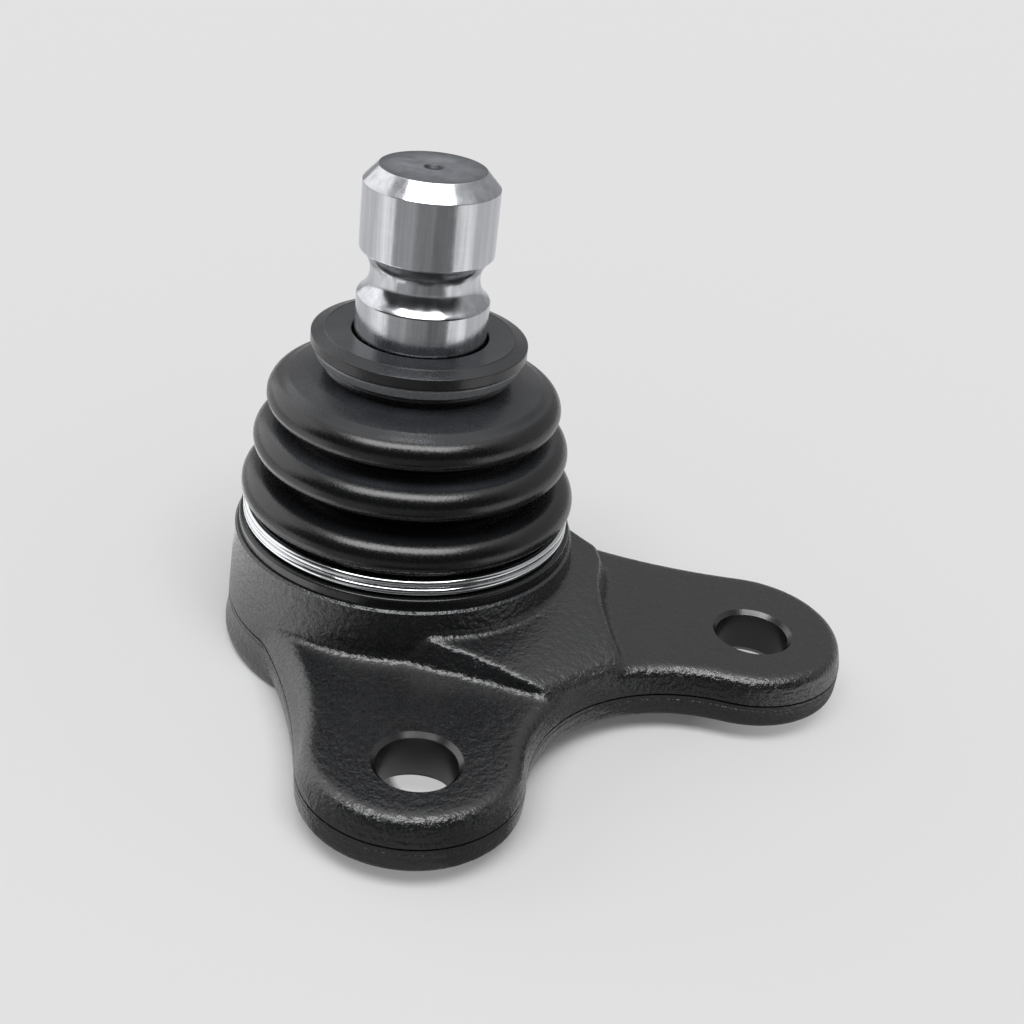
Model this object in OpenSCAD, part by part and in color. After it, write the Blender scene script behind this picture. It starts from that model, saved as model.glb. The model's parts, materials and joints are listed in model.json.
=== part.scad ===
// Suspension ball joint: a forged two-ear housing, a ball stud that swings and turns in
// plastic seats, and a bellows boot held by a wire ring. The housing axis is the Z axis,
// the base face is at z = 0, and the ears point to -Y with their holes in a row along X.

/* [Housing] */
// Radius of the housing at the parting line
body_r = 29.6; // [28:0.1:33]
// Height of the housing rim above the base
rim_z = 20.9; // [19:0.1:24]
// Radius of the housing at its rim
rim_r = 28.75; // [28:0.05:29.5]
// Height of the parting line above the base
parting_z = 7.6; // [6:0.1:9]
// How far the foot of the housing flares out below the parting line
base_flare = 0.6; // [0.2:0.1:1]
// Rounding of the bottom edge
base_round = 1.2; // [0.5:0.1:3]
// Chamfer on the edge of the rim
rim_chamfer = 0.35; // [0.2:0.05:0.8]
// How far the collar that the boot grips is set in from the rim
collar_step = 3.75; // [3.3:0.05:4.5]
// Height of the collar that the boot grips, above the rim
collar_h = 6; // [5:0.1:7]
// Chamfer on top of the collar
collar_chamfer = 1; // [0.5:0.1:2]
// Thickness of the edge that is rolled over the retaining ring
rolled_edge_t = 1.1; // [0.8:0.1:1.5]
// How far the rolled edge covers the retaining ring
rolled_edge_cover = 1.1; // [0.6:0.1:1.5]

/* [Ears] */
// Distance between the two bolt holes
ear_spacing = 69; // [64:0.5:76]
// Offset of the middle of the hole row from the housing axis, along X
ear_shift = 6.9; // [0:0.1:9]
// Distance of the hole row from the housing axis
ear_reach = 45.7; // [44:0.1:52]
// Height of the underside of the ears above the base
ear_bottom_z = 3; // [2.9:0.1:5]
// Thickness of the ears
ear_t = 8.9; // [7:0.1:9.2]
// Diameter of the bolt holes
hole_d = 12.2; // [10:0.1:14]
// Chamfer at both ends of the bolt holes
hole_chamfer = 1.05; // [0.5:0.05:1.5]
// Radius of the left ear at the parting line
left_ear_r = 17.1; // [15:0.1:18]
// Radius of the right ear at the parting line
right_ear_r = 17.4; // [16:0.1:19]
// How far the left ear's curve is set back from its hole
left_ear_back = 3; // [0:0.1:3.5]
// How far the right ear's curve is set back from its hole
right_ear_back = 2.3; // [0:0.1:2.5]
// How far the left ear's curve is set in from its hole, along X
left_ear_in = 1.4; // [0:0.1:2]
// Radius of the hollow edge between the ears
front_hollow_r = 26; // [24:0.5:32]
// Radius of the hollow left side, at the parting line
left_side_r = 100; // [80:5:200]
// Radius of the hollow left side, at the top
left_side_top_r = 60; // [40:5:120]
// Radius of the hollow right side
right_side_r = 88; // [60:2:160]
// How far the curves of the ears' sides run into the housing
side_inset = 1.6; // [1.2:0.1:3]
// Draft of the ears from the parting line to their top
ear_draft = 0.6; // [0.3:0.1:1.2]
// Rounding of the top edge of the ears
ear_round = 1.6; // [0.8:0.1:2.2]
// Rounding of the bottom edge of the ears
ear_bottom_round = 0.6; // [0.4:0.1:1.6]
// Fillet between the housing wall and the ears
foot_fillet = 1.4; // [1:0.1:4]
// Rise of the web above the ears at the housing wall
web_rise = 5.3; // [4:0.1:7]
// Rise of the web above the ears at the hollow edge
web_front_rise = 1.3; // [0.8:0.1:2]
// Half the width of the web at the hollow edge
web_front_w = 7.5; // [5:0.5:10]
// Rounding of the raised web between the ears
web_round = 2; // [1:0.1:2.5]

/* [Ball and seats] */
// Radius of the ball
ball_r = 14; // [13:0.1:14.5]
// Depth of the ball's centre below the rim
ball_drop = 1.3; // [0.5:0.1:1.8]
// Wall of the plastic seats
seat_wall = 2.45; // [2:0.05:3]
// Plastic under the ball
seat_floor = 1.2; // [1:0.1:2]
// Running clearance between the ball and the seats
ball_play = 0.06; // [0.02:0.01:0.1]
// Gap between the seats and the housing bore
seat_gap = 0.05; // [0.02:0.01:0.1]
// Angle between the stud axis and the mouth of the upper seat
seat_mouth_angle = 61; // [59.5:0.5:64]
// Thickness of the preload spring
spring_t = 0.8; // [0.5:0.1:1.2]
// Radius of the hole in the preload spring
spring_hole_r = 8; // [6:0.1:10]
// Thickness of the retaining ring
retainer_t = 1.8; // [1.4:0.1:2.4]
// Radius of the opening that the stud swings in
mouth_r = 13.7; // [13.3:0.1:14.5]
// Gap between stacked pieces inside the housing
stack_gap = 0.05; // [0.02:0.01:0.1]

/* [Stud] */
// Diameter of the stud
stud_d = 21.3; // [20:0.1:22.5]
// Radius of the neck above the ball
neck_r = 7.6; // [6.5:0.1:8]
// Length of the stud from the ball's centre to its top
stud_l = 63.2; // [62:0.1:70]
// Length of the upper full diameter
stud_upper_l = 10.5; // [9:0.1:12]
// Width of the groove for the pinch bolt
groove_w = 7.6; // [6.5:0.1:8.5]
// Depth of the groove
groove_depth = 1.95; // [1.2:0.05:2.4]
// Height of the end chamfer
tip_chamfer_h = 2.5; // [1.5:0.1:3.5]
// Width of the end chamfer
tip_chamfer_w = 2.3; // [1.5:0.1:3.5]
// Length of the lower full diameter, under the groove
stud_lower_l = 13.4; // [11:0.1:15]
// Length of the cone from the neck to the full diameter
stud_cone_l = 13; // [10:0.1:14]
// Radius of the centre-drill dimple
dimple_r = 1.5; // [1:0.1:2.5]

/* [Boot] */
// Wall of the rubber boot
boot_wall = 1.3; // [1:0.1:1.5]
// Radius of the upper fold
fold_1_r = 24.1; // [23:0.1:25]
// Radius of the middle fold
fold_2_r = 26.1; // [25:0.1:27]
// Radius of the lower fold
fold_3_r = 27.9; // [27.5:0.1:28.4]
// Height of the lower fold above the rim
fold_3_rise = 7.5; // [7.3:0.1:8.5]
// Height of the middle fold above the lower one
fold_2_rise = 8.4; // [7.6:0.1:9.4]
// Height of the upper fold above the middle one
fold_1_rise = 7.6; // [7.4:0.1:9]
// Radius of the shoulder of the upper fold
shoulder_1 = 3; // [2.6:0.1:3.4]
// Rise of the cone between the upper fold and the neck
cone_rise = 1.9; // [1.2:0.1:2.6]
// Radius of the shoulder of the other folds
shoulder = 3.2; // [2.8:0.1:3.4]
// Radius of the lower edge of the folds
fold_edge = 2; // [1.6:0.1:2.2]
// Radius of the lower edge of the lowest fold
fold_edge_3 = 1.6; // [1.4:0.1:1.7]
// Radius of the bottom of the valleys between the folds
valley_r = 20.6; // [20.2:0.1:22]
// Radius of the flat lip on top of the boot
lip_r = 17.45; // [16.5:0.1:19]
// Height of the top of the lip above the upper fold
lip_rise = 11.6; // [11:0.1:13]
// Width of the bevel round the top of the lip
lip_bevel_w = 2.1; // [1.2:0.1:2.6]
// Height of the bevel round the top of the lip
lip_bevel_h = 0.7; // [0.4:0.1:1]
// Height of the side of the lip, with its bevel
lip_t = 2.4; // [1.8:0.1:3]
// Radius of the neck of the boot, under the lip
boot_neck_r = 14.2; // [13.6:0.1:15]
// Gap between the stud and the mouth of the lip
lip_gap = 0.45; // [0.3:0.05:0.8]
// Gap between the stud and the sealing bead in the lip
bead_gap = 0.2; // [0.1:0.05:0.3]
// How far the boot's base flange is set in from the rim
flange_step = 0.65; // [0.5:0.05:1]
// Thickness of the boot's base flange
flange_t = 1.75; // [1.2:0.05:2.2]
// Wall of the rubber between the collar and the wire ring
grip_wall = 0.95; // [0.8:0.05:1.2]

/* [Rings] */
// Diameter of the spring wire
wire_d = 1.4; // [1:0.05:1.6]
// Number of turns of the wire ring
wire_turns = 2; // [2:1:2]
// Gap between the wire ring and the rubber
wire_gap = 0.05; // [0.02:0.01:0.1]
// Height of the neck ring under the lip
neck_ring_h = 1.75; // [1.2:0.05:2.2]
// How far the neck ring is set in from the lip
neck_ring_step = 0.35; // [0.1:0.05:0.8]

/* [Hidden] */
$fn = 96;

// Points on an arc about c, from angle a0 to a1 in n steps
function arc(c, r, a0, a1, n) =
    [for (i = [0:n]) c + r * [cos(a0 + (a1 - a0) * i / n), sin(a0 + (a1 - a0) * i / n)]];

// Centre of the circle of radius r that touches circles a and b from outside, left of a to b
function touching(a, ra, b, rb, r) =
    let (d = norm(b - a), u = (b - a) / d,
         s = ((ra + r) * (ra + r) - (rb + r) * (rb + r) + d * d) / (2 * d))
    a + s * u + sqrt((ra + r) * (ra + r) - s * s) * [-u[1], u[0]];

function angle_of(v) = atan2(v[1], v[0]);

// The stack inside the housing, round the ball
stud_r = stud_d / 2;
ball_z = rim_z - ball_drop;
bore_r = ball_r + seat_wall + ball_play + seat_gap;
seat_r = bore_r - seat_gap;
socket_r = ball_r + ball_play;
seat_z = ball_z - socket_r - seat_floor;
spring_z = seat_z - stack_gap - spring_t;
floor_z = spring_z - stack_gap;
upper_seat_top = ball_z + socket_r * cos(seat_mouth_angle);
retainer_z = upper_seat_top + stack_gap;
retainer_top = retainer_z + retainer_t;
housing_top = retainer_top + stack_gap + rolled_edge_t;

// The collar and what grips it
collar_r = rim_r - collar_step;
collar_top = rim_z + collar_h;
boot_bore_r = collar_r + 0.1;
boot_base_z = rim_z + stack_gap;
grip_r = boot_bore_r + grip_wall;
wire_r = grip_r + wire_gap + wire_d / 2;
wire_pitch = wire_d + 0.02;
wire_z = boot_base_z + flange_t + 0.25 + wire_d / 2;

// The folds of the boot, each [radius, height]
fold_3 = [fold_3_r, rim_z + fold_3_rise];
fold_2 = [fold_2_r, fold_3[1] + fold_2_rise];
fold_1 = [fold_1_r, fold_2[1] + fold_1_rise];
lip_z = fold_1[1] + lip_rise;
flange_r = rim_r - flange_step;
neck_ring_r = lip_r - neck_ring_step;

// The ears
left_ear = [ear_shift - ear_spacing / 2, -ear_reach];
right_ear = [ear_shift + ear_spacing / 2, -ear_reach];
ear_top_z = ear_bottom_z + ear_t;
left_ear_mid = left_ear + [left_ear_in, left_ear_back];
right_ear_mid = right_ear + [0, right_ear_back];

// The stud, from its top down
stud_top_z = ball_z + stud_l;
tip_z = stud_top_z - tip_chamfer_h;
groove_top = tip_z - stud_upper_l;
groove_bottom = groove_top - groove_w;
cone_top = groove_bottom - stud_lower_l;
cone_bottom = cone_top - stud_cone_l;

// Outline of the ears and the housing foot. u goes from 0 at the parting line to 1 at the
// top, and e sets the outline in.
function ear_outline(u, e) =
    let (ra = left_ear_r - ear_draft * u - e,
         rb = right_ear_r - ear_draft * u - e,
         ro = body_r - side_inset - e,
         side = left_side_r + (left_side_top_r - left_side_r) * u + e,
         back = right_side_r + e,
         hollow = front_hollow_r + ear_draft * u + e,
         o = [0, 0],
         cl = touching(left_ear_mid, ra, o, ro, side),
         cf = touching(right_ear_mid, rb, left_ear_mid, ra, hollow),
         cb = touching(o, ro, right_ear_mid, rb, back),
         o_start = angle_of(cb), o_end = angle_of(cl) + (angle_of(cl) < 0 ? 360 : 0),
         l0 = angle_of(o - cl), l1 = angle_of(left_ear_mid - cl),
         e0 = angle_of(cl - left_ear_mid), e1 = angle_of(cf - left_ear_mid) + 360,
         f0 = angle_of(left_ear_mid - cf), f1 = angle_of(right_ear_mid - cf),
         r0 = angle_of(cf - right_ear_mid), r1 = angle_of(cb - right_ear_mid),
         b0 = angle_of(right_ear_mid - cb), b1 = angle_of(o - cb))
    concat(arc(o, ro, o_start, o_end, 20),
           arc(cl, side, l0, l1, 6),
           arc(left_ear_mid, ra, e0, e1, 18),
           arc(cf, hollow, f0, f1, 10),
           arc(right_ear_mid, rb, r0, r1, 18),
           arc(cb, back, b0 + (b0 < 0 ? 360 : 0), b1 + (b1 < 0 ? 360 : 0), 6));

// A solid skinned over rings of points, each ring with its own height
module skin(rings, heights) {
    n = len(rings[0]);
    m = len(rings);
    pts = [for (k = [0:m - 1]) for (p = rings[k]) [p[0], p[1], heights[k]]];
    sides = [for (k = [0:m - 2]) for (i = [0:n - 1])
             let (a = k * n + i, b = k * n + (i + 1) % n)
             each [[a, a + n, b], [b, a + n, b + n]]];
    caps = [[for (i = [0:n - 1]) i], [for (i = [n - 1:-1:0]) (m - 1) * n + i]];
    polyhedron(pts, concat(sides, caps));
}

module ears() {
    levels = [[ear_bottom_z, 0, ear_bottom_round],
              [ear_bottom_z + 0.3 * ear_bottom_round, 0, 0.3 * ear_bottom_round],
              [ear_bottom_z + ear_bottom_round, 0, 0],
              [parting_z, 0, 0],
              [ear_top_z - ear_round, 1, 0],
              [ear_top_z - 0.3 * ear_round, 1, 0.3 * ear_round],
              [ear_top_z, 1, ear_round]];
    skin([for (l = levels) ear_outline(l[1], l[2])], [for (l = levels) l[0]]);
}

module body() {
    base_r = body_r + base_flare;
    edge_r = bore_r + 1.8 * rolled_edge_t;
    rotate([0, 0, 90])
    rotate_extrude()
        polygon(concat(
            [[0, 0]],
            arc([base_r - base_round, base_round], base_round, -90, 0, 4),
            [[body_r + base_flare / 4, 0.34 * parting_z], [body_r, parting_z],
             [rim_r, rim_z - rim_chamfer], [rim_r - rim_chamfer, rim_z],
             [collar_r, rim_z], [collar_r, collar_top - collar_chamfer],
             [collar_r - collar_chamfer, collar_top],
             [edge_r + rolled_edge_t, housing_top - rolled_edge_t / 2],
             [edge_r, housing_top], [0, housing_top]]));
}

// Fillet round the foot of the housing wall, kept to the top of the ears
module foot() {
    wall_r = body_r + (rim_r - body_r) * (ear_top_z - parting_z) / (rim_z - parting_z);
    sunk = 0.12;
    intersection() {
        rotate([0, 0, 90])
        rotate_extrude()
            polygon(concat(
                [[wall_r - 3, ear_top_z - 2], [wall_r + foot_fillet, ear_top_z - 2]],
                arc([wall_r + foot_fillet - sunk, ear_top_z + foot_fillet - sunk],
                    foot_fillet, 270, 180, 6),
                [[wall_r - 3, ear_top_z + foot_fillet - sunk]]));
        translate([0, 0, ear_top_z - 3])
            linear_extrude(foot_fillet + 4)
                polygon(ear_outline(1, ear_round + 0.4));
    }
}

// Corner of the web at an angle round the housing, at a rise above the ears
function at_wall(a, r, rise) = [r * cos(a), r * sin(a), ear_top_z + rise];

// Raised web between the ears: its corners, each [x, y, height of the top]
hollow_mid = touching(right_ear_mid, right_ear_r, left_ear_mid, left_ear_r, front_hollow_r);
web_front_y = hollow_mid[1] + front_hollow_r + 3.4;
web_corners = [at_wall(-115, body_r - 1.8, 0.75 * web_rise),
               [ear_shift - 1 - web_front_w, web_front_y, ear_top_z + web_front_rise],
               [ear_shift - 1 + web_front_w, web_front_y, ear_top_z + web_front_rise],
               at_wall(-50, body_r + 3.6, 0.83 * web_rise),
               at_wall(-31, body_r + 3, web_rise),
               at_wall(-17, body_r - 3, 1.05 * web_rise),
               at_wall(-70, body_r - 6, 0.85 * web_rise)];

module web() {
    hull()
        for (c = web_corners) {
            translate([c[0], c[1], c[2] - web_round]) sphere(web_round, $fn = 20);
            translate([c[0], c[1], ear_bottom_z + 3]) sphere(web_round, $fn = 12);
        }
}

module bolt_hole(at) {
    translate([at[0], at[1], ear_bottom_z]) {
        translate([0, 0, -1]) cylinder(h = ear_t + 12, d = hole_d);
        translate([0, 0, -0.01])
            cylinder(h = hole_chamfer, r1 = hole_d / 2 + hole_chamfer, r2 = hole_d / 2);
        translate([0, 0, ear_t - hole_chamfer])
            cylinder(h = hole_chamfer + 0.01, r1 = hole_d / 2,
                     r2 = hole_d / 2 + hole_chamfer + 0.01);
    }
}

module housing() {
    color("#2b2c2e")
    difference() {
        union() {
            body();
            ears();
            foot();
            web();
        }
        translate([0, 0, floor_z])
            cylinder(h = retainer_top + stack_gap - floor_z, r = bore_r);
        translate([0, 0, floor_z])
            cylinder(h = housing_top, r = bore_r - rolled_edge_cover);
        bolt_hole(left_ear);
        bolt_hole(right_ear);
    }
}

module retaining_ring() {
    color("#8d9094")
    translate([0, 0, retainer_z])
        difference() {
            cylinder(h = retainer_t, r = seat_r);
            translate([0, 0, -1]) cylinder(h = retainer_t + 2, r = mouth_r);
            translate([0, 0, retainer_t - 0.5])
                cylinder(h = 0.52, r1 = mouth_r, r2 = mouth_r + 0.52);
        }
}

// Grease grooves, cut from the inside of a seat
module grease_grooves() {
    for (a = [0:60:300])
        rotate([0, 0, a])
            translate([0, -0.8, 0]) cube([socket_r + 0.7, 1.6, housing_top]);
}

module upper_bearing_seat() {
    color("#d9d6c9")
    difference() {
        translate([0, 0, ball_z + 0.3])
            cylinder(h = upper_seat_top - ball_z - 0.3, r = seat_r);
        translate([0, 0, ball_z]) sphere(socket_r);
        grease_grooves();
    }
}

module lower_bearing_seat() {
    color("#d9d6c9")
    difference() {
        translate([0, 0, seat_z]) cylinder(h = ball_z + 0.2 - seat_z, r = seat_r);
        translate([0, 0, ball_z]) sphere(socket_r);
        translate([0, 0, seat_z - 1]) cylinder(h = 4, r = 3);
        difference() {
            grease_grooves();
            translate([0, 0, -1]) cylinder(h = seat_z + seat_floor + 4.5, r = 3 * ball_r);
        }
    }
}

module preload_spring() {
    color("#9a9da1")
    rotate_extrude()
        polygon([[spring_hole_r, spring_z], [bore_r - 0.6, spring_z],
                 [bore_r - 0.6, spring_z + spring_t], [spring_hole_r, spring_z + spring_t]]);
}

module ball_stud() {
    groove_arc_r = (groove_w * groove_w / 4 + groove_depth * groove_depth) / (2 * groove_depth);
    groove_mid = (groove_top + groove_bottom) / 2;
    groove_a = asin(groove_w / 2 / groove_arc_r);
    ball_top_a = asin(neck_r / ball_r);
    color("#c9cbce")
    difference() {
        union() {
            translate([0, 0, ball_z]) sphere(ball_r);
            rotate_extrude()
                polygon(concat(
                    [[0, ball_z], [neck_r - 0.2, ball_z], [neck_r, ball_z + ball_r * cos(ball_top_a)],
                     [neck_r, cone_bottom], [stud_r, cone_top], [stud_r, groove_bottom]],
                    arc([stud_r - groove_depth + groove_arc_r, groove_mid], groove_arc_r,
                        180 + groove_a, 180 - groove_a, 10),
                    [[stud_r, tip_z], [stud_r - tip_chamfer_w, stud_top_z], [0, stud_top_z]]));
        }
        translate([0, 0, stud_top_z - 1.3]) cylinder(h = 1.31, r1 = 0.2, r2 = dimple_r);
    }
}

// One fold of the boot, set in by t. Its shoulder starts at the angle a
function fold_points(f, top_r, edge_r, t, a = 90) =
    concat(arc([f[0] - top_r, f[1]], top_r - t, a, 0, 6),
           arc([f[0] - edge_r, f[1]], edge_r - t, 0, -90, 4));

// The valley between two folds, set in by t
function valley_points(z_up, z_down, t) =
    let (r = (z_up - z_down) / 2)
    arc([valley_r + r, (z_up + z_down) / 2], r + t, 90, 270, 6);

// Angle at which the cone above the upper fold runs into the fold's shoulder
cone_w = fold_1_r - shoulder_1 - boot_neck_r - 0.6;
cone_a = 90 - atan(cone_rise / cone_w) - 6;

function bellows(t) = concat(
    fold_points(fold_1, shoulder_1, fold_edge, t, cone_a),
    valley_points(fold_1[1] - fold_edge, fold_2[1] + shoulder, t),
    fold_points(fold_2, shoulder, fold_edge, t),
    valley_points(fold_2[1] - fold_edge, fold_3[1] + shoulder, t),
    fold_points(fold_3, shoulder, fold_edge_3, t));

module dust_boot() {
    neck_top = lip_z - lip_t;
    shoulder_z = fold_1[1] + shoulder_1 + cone_rise;
    mouth = stud_r + lip_gap;
    bead = stud_r + bead_gap;
    outer = concat(
        [[mouth, lip_z - 0.3], [mouth + 0.3, lip_z], [lip_r - lip_bevel_w, lip_z],
         [lip_r, lip_z - lip_bevel_h], [lip_r, neck_top], [boot_neck_r, neck_top],
         [boot_neck_r, shoulder_z + 0.6], [boot_neck_r + 0.6, shoulder_z]],
        bellows(0),
        [[grip_r, fold_3[1] - fold_edge_3], [grip_r, boot_base_z + flange_t],
         [flange_r - 0.3, boot_base_z + flange_t], [flange_r, boot_base_z + flange_t - 0.3],
         [flange_r, boot_base_z]]);
    inner = concat(
        [[mouth, lip_z - 1.6], [bead, lip_z - 2.2], [bead, lip_z - 2.8], [mouth, lip_z - 3.4],
         [mouth, shoulder_z - boot_wall]],
        bellows(boot_wall),
        [[boot_bore_r, fold_3[1] - fold_edge_3 + boot_wall], [boot_bore_r, boot_base_z]]);
    n = len(inner);
    color("#1d1e20")
    rotate_extrude()
        polygon(concat(outer, [for (i = [n - 1:-1:0]) inner[i]]));
}

module neck_ring() {
    z1 = lip_z - lip_t - stack_gap;
    r0 = boot_neck_r + 0.05;
    color("#6f7275")
    rotate_extrude()
        polygon([[r0, z1], [r0, z1 - neck_ring_h], [neck_ring_r - 0.7, z1 - neck_ring_h],
                 [neck_ring_r - 0.3, z1 - neck_ring_h + 0.3], [neck_ring_r, z1 - 0.2],
                 [neck_ring_r - 0.2, z1]]);
}

// Path of the wire: flat turns, each joined to the next by a short crossing at the back
module boot_wire_ring() {
    steps = 40;
    cross = 30;
    start = 60;
    sides = 8;
    last = wire_turns * 360 - cross - 4;
    path = [for (k = [0:wire_turns * steps])
            let (a = last * k / (wire_turns * steps), turn = floor(a / 360),
                 into = a - 360 * turn,
                 lift = into < 360 - cross ? 0 : (into - 360 + cross) / cross,
                 s = lift * lift * (3 - 2 * lift))
            [a + start, wire_z + wire_pitch * (turn + s)]];
    n = len(path);
    pts = [for (p = path) for (j = [0:sides - 1])
           let (q = 360 * (j + 0.5) / sides, r = wire_r + wire_d / 2 * cos(q))
           [r * cos(p[0]), r * sin(p[0]), p[1] + wire_d / 2 * sin(q)]];
    skin_faces = [for (k = [0:n - 2]) for (j = [0:sides - 1])
             let (a = k * sides + j, b = k * sides + (j + 1) % sides)
             each [[a, b, a + sides], [b, b + sides, a + sides]]];
    ends = [[for (j = [sides - 1:-1:0]) j], [for (j = [0:sides - 1]) (n - 1) * sides + j]];
    color("#d4d6d9")
        polyhedron(pts, concat(skin_faces, ends));
}

housing();
retaining_ring();
upper_bearing_seat();
lower_bearing_seat();
preload_spring();
ball_stud();
dust_boot();
neck_ring();
boot_wire_ring();
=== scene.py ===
"""Suspension ball joint: a black forged housing with two bolt ears, a bellows boot held by a
bright wire ring, and a ground ball stud that swings and turns in it.

Everything is in metres in the CAD frame: Z up the stud, the ears towards -Y, the base at z = 0.
"""

import json
from math import asin, atan2, cos, degrees, hypot, pi, radians, sin, sqrt, tan

import bpy
from bpy.props import FloatProperty, FloatVectorProperty, IntProperty, PointerProperty
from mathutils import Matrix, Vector


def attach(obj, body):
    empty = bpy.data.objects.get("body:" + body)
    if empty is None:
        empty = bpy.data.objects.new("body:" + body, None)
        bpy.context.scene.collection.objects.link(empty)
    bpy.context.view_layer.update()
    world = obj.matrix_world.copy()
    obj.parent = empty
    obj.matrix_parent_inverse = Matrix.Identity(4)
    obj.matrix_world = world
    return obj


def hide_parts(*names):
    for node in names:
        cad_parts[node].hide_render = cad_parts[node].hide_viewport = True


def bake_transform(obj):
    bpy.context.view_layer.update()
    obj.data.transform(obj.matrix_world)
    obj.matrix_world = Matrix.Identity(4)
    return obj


bl_info = {
    "name": "Suspension ball joint",
    "version": (1, 0, 0),
    "blender": (4, 5, 0),
    "location": "3D View > Sidebar > Ball joint",
    "description": "Builds a two-ear suspension ball joint around its CAD frame",
    "category": "Object",
}

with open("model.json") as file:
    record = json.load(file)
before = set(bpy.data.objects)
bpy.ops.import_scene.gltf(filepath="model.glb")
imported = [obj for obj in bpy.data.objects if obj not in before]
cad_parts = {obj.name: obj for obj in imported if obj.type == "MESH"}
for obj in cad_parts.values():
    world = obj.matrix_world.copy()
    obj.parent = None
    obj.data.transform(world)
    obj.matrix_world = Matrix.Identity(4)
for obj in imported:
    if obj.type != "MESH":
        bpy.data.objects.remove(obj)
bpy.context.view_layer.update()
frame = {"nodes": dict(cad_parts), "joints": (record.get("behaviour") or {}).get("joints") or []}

MM = 0.001
MERGE = 0.004 * MM  # points closer than this are one point
SWING_CENTRE = Vector(frame["joints"][0]["pos_m"])


def length(name, default, text, low=0.0, high=200.0):
    """A size in millimetres, kept in metres."""
    return FloatProperty(
        name=name, description=text, default=default * MM, min=low * MM, max=high * MM,
        unit="LENGTH", precision=5,
    )


def hex_colour(text):
    """An sRGB hex value as the linear colour that shaders take."""
    parts = [int(text[i:i + 2], 16) / 255 for i in (1, 3, 5)]
    return tuple(c / 12.92 if c <= 0.04045 else ((c + 0.055) / 1.055) ** 2.4 for c in parts)


def paint(name, text, default):
    """A colour that the user can change, given as an sRGB hex value."""
    return FloatVectorProperty(
        name=name, description=text, default=hex_colour(default), subtype="COLOR",
        size=3, min=0.0, max=1.0,
    )


class HousingSizes(bpy.types.PropertyGroup):
    rim_height: length("Rim height", 20.9, "Height of the rim above the base")
    rim_radius: length("Rim radius", 28.75, "Radius of the rim")
    wall_radius: length("Wall radius", 29.6, "Radius of the wall at the parting line")
    base_radius: length("Base radius", 30.2, "Radius of the flared base")
    parting: length("Parting height", 7.6, "Height of the parting line above the base")
    ear_low: length("Ear underside", 3.0, "Height of the underside of the ears")
    ear_high: length("Ear pads", 11.9, "Height of the pads on top of the ears")
    hole_radius: length("Hole radius", 6.1, "Radius of the bolt holes")
    hole_chamfer: length("Hole chamfer", 0.7, "Chamfer on top of the holes")
    hole_shift: length("Hole shift", 6.9, "Offset of the hole row's middle along X")
    hole_half: length("Half spacing", 34.5, "Half the distance between the holes")
    hole_reach: length("Hole reach", 45.7, "Distance of the hole row from the axis")
    skin_size: length("Forging detail", 0.46, "Size of the mesh of the forged skin", 0.2, 2)


class StudSizes(bpy.types.PropertyGroup):
    radius: length("Stud radius", 10.65, "Radius of the two full diameters")
    top: length("Top height", 82.8, "Height of the stud's top")
    ball: length("Ball radius", 13.92, "Radius of the ball, under the seats' radius")


class BootSizes(bpy.types.PropertyGroup):
    lip: length("Lip radius", 17.45, "Radius of the flat lip")
    fold_1: length("Upper fold", 24.1, "Radius of the upper fold")
    fold_2: length("Middle fold", 26.1, "Radius of the middle fold")
    fold_3: length("Lower fold", 27.9, "Radius of the lower fold")
    wall: length("Wall", 1.5, "Thickness of the rubber in the folds")


class RingSizes(bpy.types.PropertyGroup):
    wire: length("Wire", 1.34, "Diameter of the wire")
    radius: length("Ring radius", 26.8, "Radius of the wire ring's centre line")
    turns: IntProperty(name="Turns", description="Turns of the wire", default=2, min=1, max=4)


class Finishes(bpy.types.PropertyGroup):
    forging: paint("Forging", "Black coat of the forged housing", "#0E0F11")
    # The lighter colour of the rubbed coat, also used for painted glints and painted crest
    # highlights
    wear_and_glint: paint("Worn specks", "High spots where the coat is rubbed", "#56585B")
    rubber: paint("Rubber", "Moulded rubber of the boot", "#0C0D0E")
    # Partly bloom, partly painted light on the rubber's faces that look up
    bloom_and_top_light: paint("Rubber bloom", "Faint bloom where the rubber looks up", "#3A3C40")
    stud: paint("Stud", "Ground steel of the stud", "#D2D4D8")
    end_face: paint("Stud end", "Dull cut face on top of the stud", "#8A8D92")
    wire: paint("Wire", "Drawn spring wire", "#E4E6E8")
    ring: paint("Neck ring", "Grey phosphated ring", "#A4A6A9")
    pressed: paint("Pressed steel", "Retaining ring and spring washer", "#A9ABAE")
    acetal: paint("Acetal", "Bearing seats", "#E9E6DC")
    floor: paint("Floor", "Studio floor and backdrop", "#E3E3E4")


def edit_mode(on):
    """Enters edit mode, or leaves it."""
    bpy.ops.object.mode_set(mode="EDIT" if on else "OBJECT")


def clear_selection():
    """Leaves edit mode and deselects every object."""
    if bpy.context.object and bpy.context.object.mode != "OBJECT":
        edit_mode(False)
    bpy.ops.object.select_all(action="DESELECT")


def activate(piece):
    """Selects the piece alone and makes it the active one."""
    clear_selection()
    piece.hide_set(False)
    piece.select_set(True)
    bpy.context.view_layer.objects.active = piece


def round_corner(before, corner, after, radius, steps):
    """Points that round one corner of an outline."""
    p, a, b = Vector(corner), Vector(before), Vector(after)
    u, v = (a - p).normalized(), (b - p).normalized()
    half = u.angle(v) / 2
    reach = min(radius / tan(half), 0.49 * (a - p).length, 0.49 * (b - p).length)
    radius = reach * tan(half)
    centre = p + (u + v).normalized() * (radius / sin(half))
    first, last = p + u * reach - centre, p + v * reach - centre
    turn = first.angle_signed(last)
    points = []
    for i in range(steps + 1):
        t = -turn * i / steps
        points.append(centre + Vector((first.x * cos(t) - first.y * sin(t),
                                       first.x * sin(t) + first.y * cos(t))))
    return [tuple(q) for q in points]


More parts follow.
